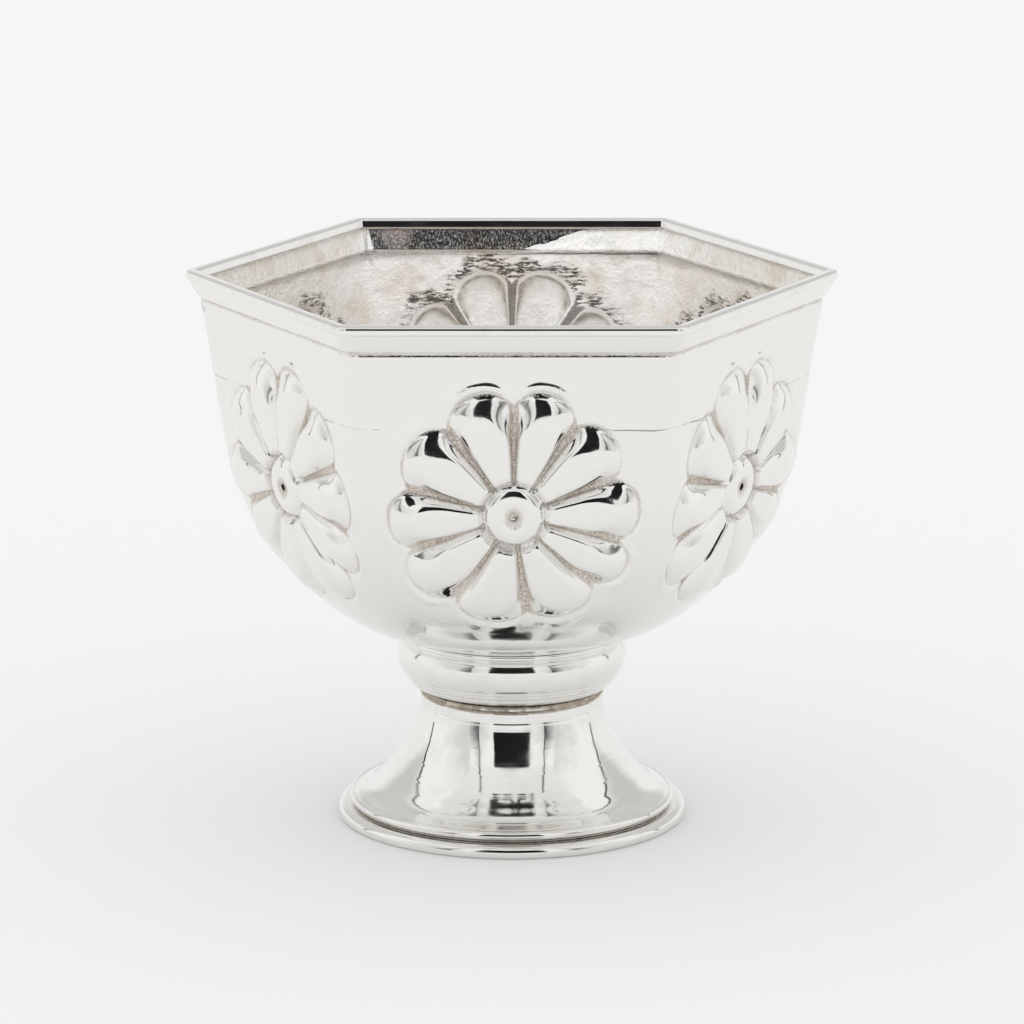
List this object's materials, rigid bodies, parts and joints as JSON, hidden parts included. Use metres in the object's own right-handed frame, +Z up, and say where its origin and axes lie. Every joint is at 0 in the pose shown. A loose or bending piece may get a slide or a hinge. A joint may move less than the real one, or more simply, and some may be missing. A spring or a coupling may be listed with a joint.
{
  "type": "offering bowl",
  "caption": "Small hexagonal silver bowl with a chased rosette on each face, on a round spun pedestal foot; holds offerings or water.",
  "frame": {"origin": "middle of the base ring's underside, on the surface the bowl stands on", "axes": "+Z up through the middle of the bowl, +X and -X to two corners of the hexagonal mouth, -Y to one flat face"},
  "size_m": [0.0796, 0.0696, 0.0686],
  "materials": {
    "polished_silver": "hand-polished silver sheet, chased, pale pickled finish inside",
    "rim_silver": "polished silver wire",
    "collar_silver": "turned and polished silver",
    "spun_silver": "spun and polished silver with fine lathe lines",
    "ring_silver": "polished silver ring",
    "silver_solder": "rough, tarnished silver solder"
  },
  "bodies": {
    "root": {"bowl_body": "polished_silver", "rim_wire": "rim_silver", "collar": "collar_silver", "foot": "spun_silver", "foot_ring": "ring_silver", "bowl_solder": "silver_solder", "neck_solder": "silver_solder", "foot_ring_solder": "silver_solder"}
  },
  "joints": []
}
